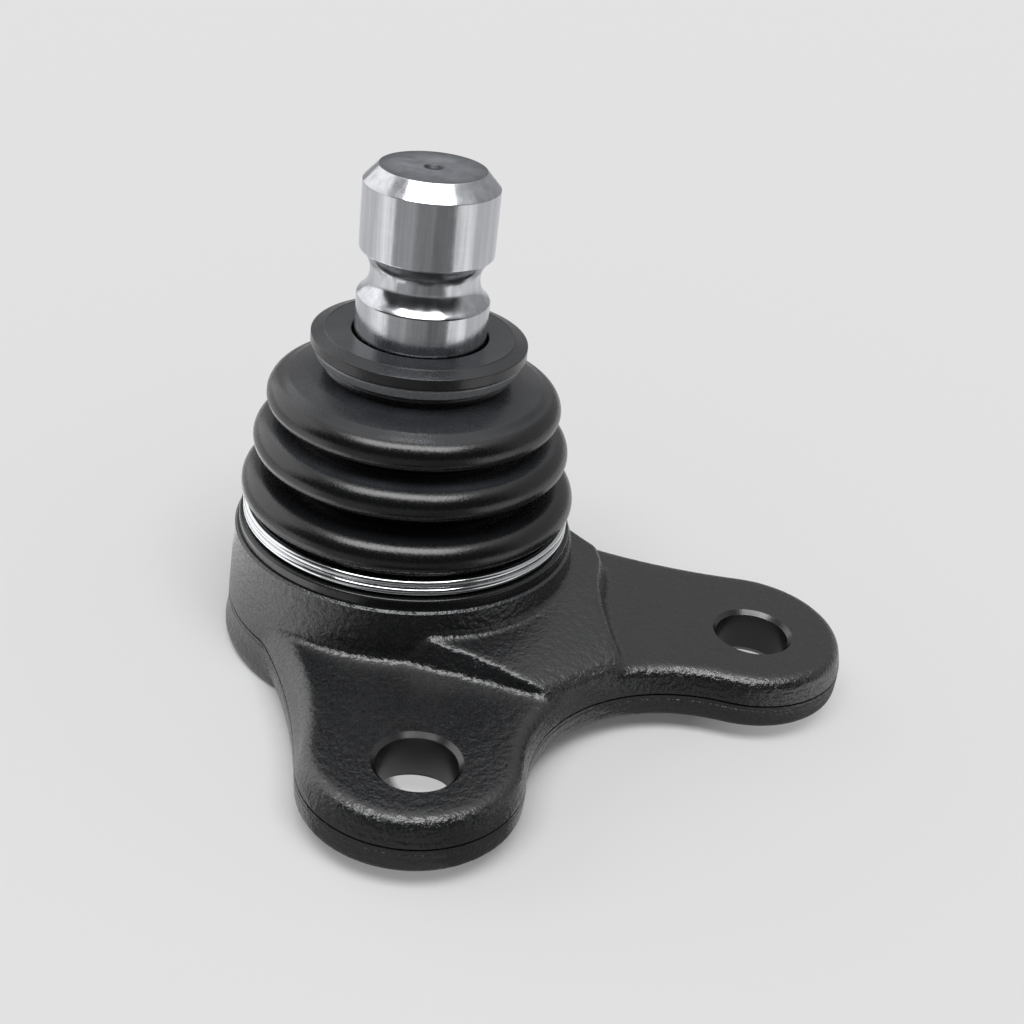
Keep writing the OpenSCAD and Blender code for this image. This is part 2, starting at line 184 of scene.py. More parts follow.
def rounded(corners, closed=False, steps=4):
    """An outline from corners (r, z) or (r, z, rounding)."""
    points, n = [], len(corners)
    for i, corner in enumerate(corners):
        inner = closed or 0 < i < n - 1
        if inner and len(corner) > 2 and corner[2] > 0:
            points += round_corner(corners[i - 1][:2], corner[:2], corners[(i + 1) % n][:2],
                                   corner[2], steps)
        else:
            points.append(tuple(corner[:2]))
    return points


def supported(points, margin=0.12):
    """Adds a point close to each end of the long straight stretches, so that they stay flat
    when they are shaded smooth."""
    result = [points[0]]
    for a, b in zip(points, points[1:]):
        a, b = Vector(a), Vector(b)
        if (b - a).length > 5 * margin:
            step = (b - a).normalized() * margin
            result += [tuple(a + step), tuple(b - step)]
        result.append(tuple(b))
    return result


def arc(centre, radius, start, end, steps):
    """Points on an arc, with angles in degrees."""
    angles = [radians(start + (end - start) * i / steps) for i in range(steps + 1)]
    return [(centre[0] + radius * cos(a), centre[1] + radius * sin(a)) for a in angles]


def turned(name, outline, steps, closed=False, at=(0.0, 0.0)):
    """A turned solid: a ring of points is laid on the outline in mm and spun about its axis.
    An open outline starts and ends on the axis, so the edge between its ends is removed."""
    clear_selection()
    bpy.ops.mesh.primitive_circle_add(vertices=len(outline), radius=0.01)
    piece = bpy.context.object
    piece.name = piece.data.name = name
    for point, (r, z) in zip(piece.data.vertices, outline):
        point.co = (at[0] * MM + r * MM, at[1] * MM, z * MM)
    if not closed:
        for edge in piece.data.edges:
            edge.select = set(edge.vertices) == {0, len(outline) - 1}
        for point in piece.data.vertices:
            point.select = False
        edit_mode(True)
        bpy.ops.mesh.select_mode(type="EDGE")
        bpy.ops.mesh.delete(type="EDGE")
        bpy.ops.mesh.select_mode(type="VERT")
    edit_mode(True)
    bpy.ops.mesh.select_all(action="SELECT")
    bpy.ops.mesh.spin(steps=steps, angle=2 * pi, center=(at[0] * MM, at[1] * MM, 0),
                      axis=(0, 0, 1))
    bpy.ops.mesh.select_all(action="SELECT")
    bpy.ops.mesh.remove_doubles(threshold=MERGE)
    bpy.ops.mesh.normals_make_consistent(inside=False)
    edit_mode(False)
    return piece


def smooth(piece, angle):
    """Shades the piece smooth but for edges sharper than the angle in degrees."""
    activate(piece)
    bpy.ops.object.shade_smooth_by_angle(angle=radians(angle))


def finish_piece(piece, material, body, node):
    """Gives the piece its finish and its body, and hides the CAD node that it stands for. A piece
    that bends between two bodies has none of its own."""
    piece.data.materials.clear()
    piece.data.materials.append(material)
    if body:
        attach(piece, body)
    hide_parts(node)


def add_node(material, kind, inputs=None, **settings):
    """Adds a shader node. An input is a value, another node's output, or a node, which stands
    for its first output."""
    node = material.node_tree.nodes.new("ShaderNode" + kind)
    for key, value in settings.items():
        setattr(node, key, value)
    for key, value in (inputs or {}).items():
        if isinstance(value, bpy.types.Node):
            value = value.outputs[0]
        if isinstance(value, bpy.types.NodeSocket):
            material.node_tree.links.new(value, node.inputs[key])
        else:
            node.inputs[key].default_value = value
    return node


def new_material(name):
    """An empty node material."""
    material = bpy.data.materials.new(name)
    material.use_nodes = True
    material.node_tree.nodes.clear()
    return material


def rgba(colour):
    """The colour with full opacity, for colour sockets."""
    return (*colour, 1.0)


def cells(size):
    """The scale of a pattern whose cells are this many millimetres wide."""
    return 1.0 / (size * MM)


NOISE_RANGE = {"From Min": 0.3, "From Max": 0.7}  # most of a noise lies between these


def forged_steel(colour, wear_and_glint_colour):
    """Drop-forged steel, shot-blasted and black coated: a satin coat over a pebbled skin that
    breaks the highlights into specks.
    Painted glints on fine grains and painted highlights on the crests that look up, partly rubbed
    coat, take a lighter metallic colour. Steep faces carry the drag lines of the die."""
    m = new_material("forged_steel_black_coat")
    place = add_node(m, "TexCoord").outputs["Object"]
    # Shot of about 0.5 mm leaves the pebbles, loose scale leaves dents of 1.1 mm, and the coat
    # is thicker and thinner in patches of 8 mm.
    pebble = add_node(m, "TexNoise", {
        "Vector": place, "Scale": cells(0.5), "Detail": 3.0, "Roughness": 0.6})
    dents = add_node(m, "TexNoise", {"Vector": place, "Scale": cells(1.1111), "Detail": 2.0})
    patches = add_node(m, "TexNoise", {"Vector": place, "Scale": cells(8.3333), "Detail": 4.0})
    # The die drags level lines into the steep walls, 0.9 mm apart and 11 mm long.
    stretched = add_node(m, "Mapping", {
        "Vector": place, "Scale": (cells(11.11), cells(11.11), cells(0.9091))})
    drag = add_node(m, "TexNoise", {
        "Vector": stretched, "Scale": 1.0, "Detail": 3.0, "Distortion": 0.4})
    surface = add_node(m, "NewGeometry")
    upward = add_node(m, "SeparateXYZ", {0: surface.outputs["Normal"]}).outputs["Z"]
    high = add_node(m, "SeparateXYZ", {0: place}).outputs["Z"]
    steep = add_node(m, "MapRange", {
        "Value": upward, "From Min": 0.25, "From Max": 0.6, "To Min": 1.0, "To Max": 0.0})
    below_pads = add_node(m, "MapRange", {
        "Value": high, "From Min": 10.5 * MM, "From Max": 12.5 * MM, "To Min": 0.8, "To Max": 0.0})
    drag_share = add_node(m, "Math", {0: below_pads, 1: steep}, operation="MULTIPLY")
    drag_height = add_node(m, "Math", {0: drag, 1: drag_share}, operation="MULTIPLY")
    height = add_node(m, "Math", {0: pebble, 1: 0.6, 2: dents}, operation="MULTIPLY_ADD")
    # The pads on top of the ears are coined flat, so their skin is shallower.
    coined = add_node(m, "MapRange", {
        "Value": upward, "From Min": 0.93, "From Max": 0.985, "To Min": 1.0, "To Max": 0.55})
    skin_height = add_node(m, "Math", {0: height, 1: coined}, operation="MULTIPLY")
    skin = add_node(m, "Math", {0: drag_height, 1: skin_height}, operation="ADD")
    bump = add_node(m, "Bump", {"Height": skin, "Strength": 0.95, "Distance": 0.24 * MM})
    speck = add_node(m, "MapRange", {
        "Value": pebble, "From Min": 0.35, "From Max": 0.68, "To Min": 0.6, "To Max": 1.7})
    tone = add_node(m, "MapRange", {
        "Value": patches, **NOISE_RANGE, "To Min": 0.75, "To Max": 1.25})
    both = add_node(m, "Math", {0: speck, 1: tone}, operation="MULTIPLY")
    tinted = add_node(m, "VectorMath", {0: tuple(colour), "Scale": both}, operation="SCALE")
    # A lighter, metallic colour on grains of 0.4 mm is painted glints, and along the crests that
    # look up it is painted highlight where the coat is also rubbed off.
    grains = add_node(m, "TexNoise", {"Vector": place, "Scale": cells(0.3704), "Detail": 1.0})
    specks = add_node(m, "MapRange", {
        "Value": grains, "From Min": 0.6, "From Max": 0.72, "To Max": 0.5})
    sharp = add_node(m, "MapRange", {
        "Value": surface.outputs["Pointiness"], "From Min": 0.511, "From Max": 0.55})
    on_top = add_node(m, "MapRange", {"Value": upward, "From Min": 0.1, "From Max": 0.35})
    crests = add_node(m, "Math", {0: sharp, 1: on_top}, operation="MULTIPLY")
    broken = add_node(m, "MapRange", {
        "Value": pebble, "From Min": 0.38, "From Max": 0.62, "To Min": 0.1})
    rubbed_and_glinting = add_node(m, "Math", {
        0: crests, 1: broken, 2: specks}, operation="MULTIPLY_ADD", use_clamp=True)
    wear_and_glint = add_node(m, "Mix", {
        "Factor": rubbed_and_glinting, "A": tinted, "B": rgba(wear_and_glint_colour)}, data_type="RGBA")
    rough = add_node(m, "MapRange", {
        "Value": pebble, **NOISE_RANGE, "To Min": 0.32, "To Max": 0.15})
    shader = add_node(m, "BsdfPrincipled", {
        "Base Color": wear_and_glint.outputs["Result"], "Roughness": rough, "IOR": 1.85, "Metallic": rubbed_and_glinting,
        "Normal": bump})
    add_node(m, "OutputMaterial", {"Surface": shader})
    return m


def bored_steel(colour):
    """The drilled holes and their chamfers: the coat over machined steel, smoother than the forged
    skin, with level lines
    0.4 mm apart, as the drill's feed leaves them, and painted darker than the forging's colour as
    shade in the holes."""
    m = new_material("steel_drilled_coat_painted_shade")
    place = add_node(m, "TexCoord").outputs["Object"]
    lines = round_lines(m, place, 0.4)
    bump = add_node(m, "Bump", {"Height": lines, "Strength": 0.3, "Distance": 0.03 * MM})
    # Painted shade: the colour drops to a tenth to four tenths of the forging's.
    tone = add_node(m, "MapRange", {"Value": lines, **NOISE_RANGE, "To Min": 0.1, "To Max": 0.4})
    tinted = add_node(m, "VectorMath", {0: tuple(colour), "Scale": tone}, operation="SCALE")
    shader = add_node(m, "BsdfPrincipled", {
        "Base Color": tinted, "Roughness": 0.27, "IOR": 1.9, "Normal": bump})
    add_node(m, "OutputMaterial", {"Surface": shader})
    return m


def boot_rubber(colour, bloom_and_top_light_colour):
    """Chloroprene rubber moulded in a polished tool: a soft sheen over a fine grain, with a faint
    grey on the faces that look up that is partly bloom and partly painted light from above."""
    m = new_material("chloroprene_rubber_moulded")
    coordinates = add_node(m, "TexCoord")
    place = coordinates.outputs["Object"]
    # The melt's flow leaves level lines 0.7 mm apart and 17 mm long, and the tool's polish
    # leaves a grain. That grain is finer than it can show, so it is drawn at 0.4 mm.
    along = add_node(m, "Mapping", {
        "Vector": place, "Scale": (cells(16.667), cells(16.667), cells(0.7143))})
    flow = add_node(m, "TexNoise", {"Vector": along, "Scale": 1.0, "Detail": 3.0})
    grain = add_node(m, "TexNoise", {
        "Vector": place, "Scale": cells(0.3846), "Detail": 3.0, "Roughness": 0.6})
    cloud = add_node(m, "TexNoise", {"Vector": place, "Scale": cells(6.25), "Detail": 4.0})
    height = add_node(m, "Math", {0: grain, 1: 1.2, 2: flow}, operation="MULTIPLY_ADD")
    bump = add_node(m, "Bump", {"Height": height, "Strength": 0.32, "Distance": 0.06 * MM})
    rough = add_node(m, "MapRange", {"Value": grain, **NOISE_RANGE, "To Min": 0.19, "To Max": 0.3})
    # A lighter grey, partly bloom and partly painted light, lies in clouds of 6 mm on what is
    # level, and only above 30 to 38 mm, so the lowest fold and the flange stay dark.
    upward = add_node(m, "SeparateXYZ", {0: coordinates.outputs["Normal"]})
    level = add_node(m, "MapRange", {
        "Value": upward.outputs["Z"], "From Min": 0.87, "From Max": 0.985})
    spread = add_node(m, "MapRange", {"Value": cloud, **NOISE_RANGE, "To Min": 0.55})
    high = add_node(m, "SeparateXYZ", {0: place}).outputs["Z"]
    upper_part = add_node(m, "MapRange", {
        "Value": high, "From Min": 30.0 * MM, "From Max": 38.0 * MM})
    cloudy = add_node(m, "Math", {0: level, 1: spread}, operation="MULTIPLY")
    bloom_and_top_light = add_node(m, "Math", {0: cloudy, 1: upper_part}, operation="MULTIPLY")
    tinted = add_node(m, "Mix", {
        "Factor": bloom_and_top_light, "A": rgba(colour), "B": rgba(bloom_and_top_light_colour)}, data_type="RGBA")
    shader = add_node(m, "BsdfPrincipled", {
        "Base Color": tinted.outputs["Result"], "Roughness": rough, "IOR": 1.62, "Normal": bump})
    add_node(m, "OutputMaterial", {"Surface": shader})
    return m


def round_lines(m, place, spacing):
    """Lines round the Z axis at this spacing in mm, as a lathe or a wheel leaves them."""
    stretched = add_node(m, "Mapping", {
        "Vector": place, "Scale": (cells(33.333), cells(33.333), cells(spacing))})
    return add_node(m, "TexNoise", {
        "Vector": stretched, "Scale": 1.0, "Detail": 4.0, "Roughness": 0.7})


def ground_steel(name, colour, roughness, spacing, line=0.08, streak=0.0, groove_shade_top=None):
    """Bare steel turned and ground: bright metal with lines round the axis, drawn as coarse as
    they need to show. A streak share adds lighter and darker marks along the axis. Given a
    groove's top height in mm, the upper flank under it is painted darker as shade."""
    m = new_material(name)
    place = add_node(m, "TexCoord").outputs["Object"]
    lines = round_lines(m, place, spacing)
    # Marks 1.6 mm wide and 40 mm long, and clouds of 1.4 mm in the polish
    along = add_node(m, "Mapping", {
        "Vector": place, "Scale": (cells(1.6129), cells(1.6129), cells(40.0))})
    marks = add_node(m, "TexNoise", {
        "Vector": along, "Scale": 1.0, "Detail": 3.0, "Roughness": 0.6})
    cloud = add_node(m, "TexNoise", {"Vector": place, "Scale": cells(1.4286), "Detail": 3.0})
    bump = add_node(m, "Bump", {"Height": lines, "Strength": line, "Distance": 0.02 * MM})
    rough = add_node(m, "MapRange", {
        "Value": cloud, **NOISE_RANGE, "To Min": roughness[0], "To Max": roughness[1]})
    tone = add_node(m, "MapRange", {"Value": lines, **NOISE_RANGE, "To Min": 0.95, "To Max": 1.03})
    streak_tone = add_node(m, "MapRange", {
        "Value": marks, "From Min": 0.32, "From Max": 0.68, "To Min": 1.0 - streak,
        "To Max": 1.0 + streak / 2})
    both = add_node(m, "Math", {0: tone, 1: streak_tone}, operation="MULTIPLY")
    # Painted shade: the 1 to 2 mm of the groove's upper flank under its top is darkened to 0.3.
    if groove_shade_top:
        high_up = add_node(m, "SeparateXYZ", {0: place}).outputs["Z"]
        uneven = add_node(m, "Math", {0: cloud, 1: 1.6 * MM, 2: high_up}, operation="MULTIPLY_ADD")
        lower = add_node(m, "MapRange", {
            "Value": uneven, "From Min": (groove_shade_top - 2.1) * MM,
            "From Max": (groove_shade_top - 1.1) * MM, "To Min": 1.0, "To Max": 0.3})
        upper = add_node(m, "Math", {
            0: high_up, 1: (groove_shade_top - 0.1) * MM}, operation="GREATER_THAN")
        flank = add_node(m, "Math", {0: lower, 1: upper}, operation="MAXIMUM")
        both = add_node(m, "Math", {0: both, 1: flank}, operation="MULTIPLY")
    tinted = add_node(m, "VectorMath", {0: tuple(colour), "Scale": both}, operation="SCALE")
    shader = add_node(m, "BsdfPrincipled", {
        "Base Color": tinted, "Metallic": 1.0, "Roughness": rough, "Normal": bump})
    add_node(m, "OutputMaterial", {"Surface": shader})
    return m


def sawn_steel(colour):
    """The bar's cut end, blackened in heat treatment and left rough: dull and grey, darker
    towards its rim, with painted shade in the dimple, and with blotches of 4 mm and a grit of 0.3
    mm."""
    m = new_material("steel_cut_end_dull")
    place = add_node(m, "TexCoord").outputs["Object"]
    blotch = add_node(m, "TexNoise", {"Vector": place, "Scale": cells(3.8462), "Detail": 4.0})
    grit = add_node(m, "TexNoise", {"Vector": place, "Scale": cells(0.3125), "Detail": 3.0})
    tone = add_node(m, "MapRange", {
        "Value": blotch, "From Min": 0.35, "From Max": 0.65, "To Min": 0.65, "To Max": 1.2})
    flat = add_node(m, "VectorMath", {0: place, 1: (1.0, 1.0, 0.0)}, operation="MULTIPLY")
    out = add_node(m, "VectorMath", {0: flat}, operation="LENGTH").outputs["Value"]
    rim = add_node(m, "MapRange", {
        "Value": out, "From Min": 4.5 * MM, "From Max": 8.3 * MM, "To Min": 1.1, "To Max": 0.62})
    # Painted shade: the dimple is darkened to 0.3.
    dimple_shade = add_node(m, "MapRange", {
        "Value": out, "From Min": 1.35 * MM, "From Max": 1.75 * MM, "To Min": 0.3})
    shade = add_node(m, "Math", {0: rim, 1: dimple_shade}, operation="MULTIPLY")
    both = add_node(m, "Math", {0: tone, 1: shade}, operation="MULTIPLY")
    tinted = add_node(m, "VectorMath", {0: tuple(colour), "Scale": both}, operation="SCALE")
    bump = add_node(m, "Bump", {"Height": grit, "Strength": 0.5, "Distance": 0.06 * MM})
    shader = add_node(m, "BsdfPrincipled", {
        "Base Color": tinted, "Metallic": 0.8, "Roughness": 0.5, "Normal": bump})
    add_node(m, "OutputMaterial", {"Surface": shader})
    return m


def phosphated_steel(colour):
    """Steel sheet with a zinc phosphate coat: matt mid grey with a crystal grain. The real
    crystals are far finer than it can show, so they are drawn at 0.45 mm."""
    m = new_material("steel_grey_phosphated")
    place = add_node(m, "TexCoord").outputs["Object"]
    grain = add_node(m, "TexNoise", {"Vector": place, "Scale": cells(0.4545), "Detail": 3.0})
    tone = add_node(m, "MapRange", {"Value": grain, **NOISE_RANGE, "To Min": 0.8, "To Max": 1.15})
    tinted = add_node(m, "VectorMath", {0: tuple(colour), "Scale": tone}, operation="SCALE")
    bump = add_node(m, "Bump", {"Height": grain, "Strength": 0.3, "Distance": 0.04 * MM})
    shader = add_node(m, "BsdfPrincipled", {
        "Base Color": tinted, "Metallic": 0.5, "Roughness": 0.42, "Normal": bump})
    add_node(m, "OutputMaterial", {"Surface": shader})
    return m


def acetal_plastic(colour):
    """Natural acetal, injection moulded: milky and smooth, with a faint mottle of 2.5 mm."""
    m = new_material("acetal_natural_moulded")
    place = add_node(m, "TexCoord").outputs["Object"]
    mottle = add_node(m, "TexNoise", {"Vector": place, "Scale": cells(2.5), "Detail": 3.0})
    tone = add_node(m, "MapRange", {"Value": mottle, "To Min": 0.92, "To Max": 1.04})
    tinted = add_node(m, "VectorMath", {0: tuple(colour), "Scale": tone}, operation="SCALE")
    bump = add_node(m, "Bump", {"Height": mottle, "Strength": 0.1, "Distance": 0.05 * MM})
    shader = add_node(m, "BsdfPrincipled", {
        "Base Color": tinted, "Roughness": 0.45, "IOR": 1.48, "Normal": bump})
    add_node(m, "OutputMaterial", {"Surface": shader})
    return m


# The forged ears, as an outline of touching arcs in plan. All of these are in millimetres.
EAR_MIDDLES = ((-26.2, -42.7), (41.4, -43.4))
EAR_RADII = (17.06, 17.36)
HOLLOW_RADIUS = 26.0
LEFT_SIDE = (100.0, 60.0)  # the left flank's radius at the parting line and at the pads
RIGHT_SIDE = 88.0
SIDE_START = 28.4  # radius of the circle round the axis that both flanks start from
EAR_DRAFT = 0.6


def touching(a, ra, b, rb, r):
    """Centre of the circle of radius r that touches circles a and b, left of a to b."""
    d = hypot(b[0] - a[0], b[1] - a[1])
    ux, uy = (b[0] - a[0]) / d, (b[1] - a[1]) / d
    s = ((ra + r) ** 2 - (rb + r) ** 2 + d * d) / (2 * d)
    h = sqrt((ra + r) ** 2 - s * s)
    return (a[0] + s * ux - h * uy, a[1] + s * uy + h * ux)


def bearing(a, b):
    """Direction from a to b, in degrees."""
    return degrees(atan2(b[1] - a[1], b[0] - a[0]))


def ear_outline(u, inset):
    """Both ears' outline less the inset: u is 0 at the parting line and 1 at the pads."""
    left, right = EAR_MIDDLES
    ra = EAR_RADII[0] - EAR_DRAFT * u - inset
    rb = EAR_RADII[1] - EAR_DRAFT * u - inset
    ro = SIDE_START - inset
    side = LEFT_SIDE[0] + (LEFT_SIDE[1] - LEFT_SIDE[0]) * u + inset
    back = RIGHT_SIDE + inset
    hollow = HOLLOW_RADIUS + EAR_DRAFT * u + inset
    o = (0.0, 0.0)
    cl = touching(left, ra, o, ro, side)
    cf = touching(right, rb, left, ra, hollow)
    cb = touching(o, ro, right, rb, back)
    return (arc(o, ro, bearing(o, cb), bearing(o, cl) % 360, 40)
            + arc(cl, side, bearing(cl, o), bearing(cl, left), 16)
            + arc(left, ra, bearing(left, cl), bearing(left, cf) + 360, 44)
            + arc(cf, hollow, bearing(cf, left), bearing(cf, right), 26)
            + arc(right, rb, bearing(right, cf), bearing(right, cb), 44)
            + arc(cb, back, bearing(cb, right) % 360, bearing(cb, o) % 360, 16))


def stacked(name, rings, heights):
    """A solid through rings of points: a filled ring extruded up level by level."""
    clear_selection()
    bpy.ops.mesh.primitive_circle_add(vertices=len(rings[0]), radius=0.01, fill_type="NGON")
    piece = bpy.context.object
    piece.name = piece.data.name = name
    edit_mode(True)
    for _ in rings[1:]:
        bpy.ops.mesh.extrude_region_move()
    edit_mode(False)
    points = [(x * MM, y * MM, z * MM) for ring, z in zip(rings, heights) for x, y in ring]
    for point, place in zip(piece.data.vertices, points):
        point.co = place
    return piece


def join(pieces, name):
    """Joins the pieces into one object."""
    activate(pieces[0])
    for other in pieces[1:]:
        other.select_set(True)
    bpy.ops.object.join()
    piece = bpy.context.object
    piece.name = piece.data.name = name
    return piece


# Rows of the raised web from the housing to the hollow edge. Each row holds the left flank's
# foot and ridge, and the right flank's ridge and foot.
WEB_ROWS = (
    ((-13.0, -17.0, 11.5), (-9.4, -18.0, 16.6), (28.0, -7.5, 17.6), (31.0, -6.5, 11.5)),
    ((-16.2, -25.0, 11.6), (-13.2, -26.8, 16.6), (29.2, -17.2, 17.2), (31.2, -18.4, 11.6)),
    ((-13.3, -29.1, 11.6), (-11.0, -29.2, 16.1), (27.4, -20.6, 16.9), (29.3, -22.0, 11.6)),
    ((-10.6, -32.4, 11.6), (-8.5, -32.3, 15.7), (22.4, -26.1, 16.3), (24.3, -27.3, 11.6)),
    ((-7.4, -36.2, 11.6), (-6.1, -36.2, 15.1), (19.2, -31.0, 15.6), (21.0, -31.9, 11.6)),
    ((-4.7, -39.8, 11.6), (-4.2, -39.9, 14.4), (16.5, -36.4, 14.7), (18.2, -37.0, 11.6)),
    ((-2.9, -42.5, 11.6), (-2.3, -42.4, 13.4), (14.4, -41.3, 13.5), (15.9, -41.7, 11.6)),
    ((-2.4, -43.9, 11.3), (-1.4, -43.6, 11.9), (13.6, -43.3, 11.9), (14.9, -43.4, 11.3)),
)


def web_solid():
    """The web as a grid whose rows run across it, closed by a flat underside in the ears."""
    across, underside = 9, 8.0
    clear_selection()
    bpy.ops.mesh.primitive_grid_add(x_subdivisions=across + 1, y_subdivisions=len(WEB_ROWS) - 1)
    piece = bpy.context.object
    piece.name = "web"
    points = []
    for foot_l, ridge_l, ridge_r, foot_r in WEB_ROWS:
        row = [Vector(foot_l)]
        row += [Vector(ridge_l).lerp(Vector(ridge_r), i / (across - 1)) for i in range(across)]
        points += row + [Vector(foot_r)]
    for point, place in zip(piece.data.vertices, points):
        point.co = place * MM
    activate(piece)
    edit_mode(True)
    bpy.ops.mesh.select_all(action="SELECT")
    bpy.ops.mesh.extrude_region_move()
    edit_mode(False)
    for point in piece.data.vertices:
        if point.select:
            point.co.z = underside * MM
    edit_mode(True)
    bpy.ops.mesh.select_all(action="SELECT")
    bpy.ops.mesh.normals_make_consistent(inside=False)
    edit_mode(False)
    return piece


def cut(piece, tool, operation="DIFFERENCE"):
    """Cuts the tool's shape out of the piece, or keeps only what is inside it."""
    activate(piece)
    modifier = piece.modifiers.new("cut", "BOOLEAN")
    modifier.operation = operation
    modifier.solver = "EXACT"
    modifier.object = tool
    bpy.ops.object.modifier_apply(modifier=modifier.name)
    bpy.data.objects.remove(tool)


# The seats' bore, the edge rolled over them and the collar that the boot grips, in mm
BORE_FLOOR = 3.42
BORE_RADIUS = 16.56
ROLLED_RADIUS = 15.46
ROLLED_LOW = 28.27
ROLLED_TOP = 29.38
COLLAR_RADIUS = 25.0
CHAMFER_EXTRA = 0.8  # how much larger a bolt hole's lower chamfer is than its upper one


def forged_skin(s):
    """The body, the ears, the corner between them and the web, melted into one skin."""
    rim, top, low = s.rim_height / MM, s.ear_high / MM, s.ear_low / MM
    parting, wall = s.parting / MM, s.wall_radius / MM
    base, rim_r = s.base_radius / MM, s.rim_radius / MM
    slope = (wall - rim_r) / (rim - parting)
    wall_at_pad = wall - slope * (top - parting)
    # The body rises 10 mm over the rim, and the facing tool turns the collar out of that.
    body = turned("body", rounded([
        (0, 0), (base - 0.2, 0, 1.2), (base, 1.9, 0.8), (wall + 0.1, 4.0, 2.0),
        (wall, parting, 1.0), (wall_at_pad, top + 0.2), (rim_r - slope * 10, rim + 10),
        (0, rim + 10)], steps=6), 128)
    # Each level of the ears: its height, its share of the draft and how far it is drawn in
    levels = [(low, 0, 0.8), (low + 0.25, 0, 0.25), (low + 0.9, 0, 0.0),
              (parting, 0, 0.0), (parting + 1.0, 0.3, 0.0),
              (top - 2.0, 0.9, 0.0), (top - 1.1, 0.95, 0.2), (top - 0.4, 1, 0.8),
              (top - 0.1, 1, 1.4), (top, 1, 2.1)]
    ears = stacked("ears", [ear_outline(u, e) for _, u, e in levels], [z for z, _, _ in levels])
    inside, fillet = 24.0, 1.3
    r = wall_at_pad + fillet
    foot = turned("foot", [(inside, top - 1.0), (r, top - 1.0)]
                  + arc((r, top + 1.2), fillet, 270, 180, 6) + [(inside, top + 1.3)],
                  128, closed=True)
    plan = ear_outline(1, 1.7)
    cut(foot, stacked("plan", [plan, plan], [top - 2.0, top + 4.0]), "INTERSECT")
    forging = join([body, ears, foot, web_solid()], "housing_forging")
    forging.data.remesh_voxel_size = s.skin_size
    forging.data.use_remesh_fix_poles = False
    bpy.ops.object.voxel_remesh()
    edit_mode(True)
    bpy.ops.mesh.select_all(action="SELECT")
    bpy.ops.mesh.vertices_smooth(factor=0.5, repeat=8)
    edit_mode(False)
    return forging


def edge_band(wall, low, high, deep):
    """A shallow band round the housing's edge, as trimming the flash leaves it: a disc wider
    than the housing, less the housing drawn in by the band's depth."""
    levels = [(low - 0.1, -0.1), (low + 0.08, deep), (high - 0.08, deep), (high + 0.1, -0.1)]
    reach = 95
    band = turned("band", [(0, low), (reach, low), (reach, high), (0, high)], 96)
    cut(band, stacked("core", [ear_outline(0, e) for _, e in levels], [z for z, _ in levels]))
    cut(band, turned("round_core", [(0, levels[0][0])] + [(wall - e, z) for z, e in levels]
                     + [(0, levels[-1][0])], 128))
    return band


def machine(forging, s):
    """Turns the bore, collar and rim, trims the parting line and drills the bolt holes."""
    rim, rim_r, wall = s.rim_height / MM, s.rim_radius / MM, s.wall_radius / MM
    parting, top, low = s.parting / MM, s.ear_high / MM, s.ear_low / MM
    cut(forging, turned("facing_tool", rounded([
        (0, BORE_FLOOR), (BORE_RADIUS, BORE_FLOOR), (BORE_RADIUS, ROLLED_LOW),
        (ROLLED_RADIUS, ROLLED_LOW), (ROLLED_RADIUS, ROLLED_TOP), (18.4, ROLLED_TOP, 0.4),
        (19.8, 28.7), (COLLAR_RADIUS - 1, rim + 6), (COLLAR_RADIUS, rim + 5),
        (COLLAR_RADIUS, rim), (rim_r - 0.35, rim), (rim_r + 0.65, rim - 0.9),
        (rim_r + 6, rim - 0.9), (rim_r + 6, rim + 14), (0, rim + 14)]), 160))
    cut(forging, edge_band(wall, parting - 1.15, parting - 0.2, 0.05))
    cut(forging, edge_band(wall, parting - 0.35, parting, 0.4))
    r, c = s.hole_radius / MM, s.hole_chamfer / MM
    c_low = c + CHAMFER_EXTRA
    for side in (-1, 1):
        at = ((s.hole_shift + side * s.hole_half) / MM, -s.hole_reach / MM)
        cut(forging, turned("drill", [
            (0, low - 1), (r + c_low + 1, low - 1), (r, low + c_low), (r, top - c),
            (r + c + 1, top + 1), (0, top + 1)], 96, at=at))


class BALLJOINT_OT_housing(bpy.types.Operator):
    """Forge the housing: body, ears and web melted into one skin, then bored and drilled"""
    bl_idname = "balljoint.housing"
    bl_label = "Forged housing"

    def execute(self, context):
        s = context.scene.ball_joint_housing
        forging = forged_skin(s)
        machine(forging, s)
        smooth(forging, 28)
        finishes = context.scene.ball_joint_finishes
        finish_piece(forging, forged_steel(finishes.forging, finishes.wear_and_glint), "socket",
                     "housing")
        forging.data.materials.append(bored_steel(finishes.forging))
        middles = [Vector((s.hole_shift + side * s.hole_half, -s.hole_reach, 0))
                   for side in (-1, 1)]
        for face in forging.data.polygons:
            near = min((face.center - m).xy.length for m in middles)
            if near < s.hole_radius + 0.9 * s.hole_chamfer and abs(face.normal.z) < 0.9:
                face.material_index = 1
        return {"FINISHED"}


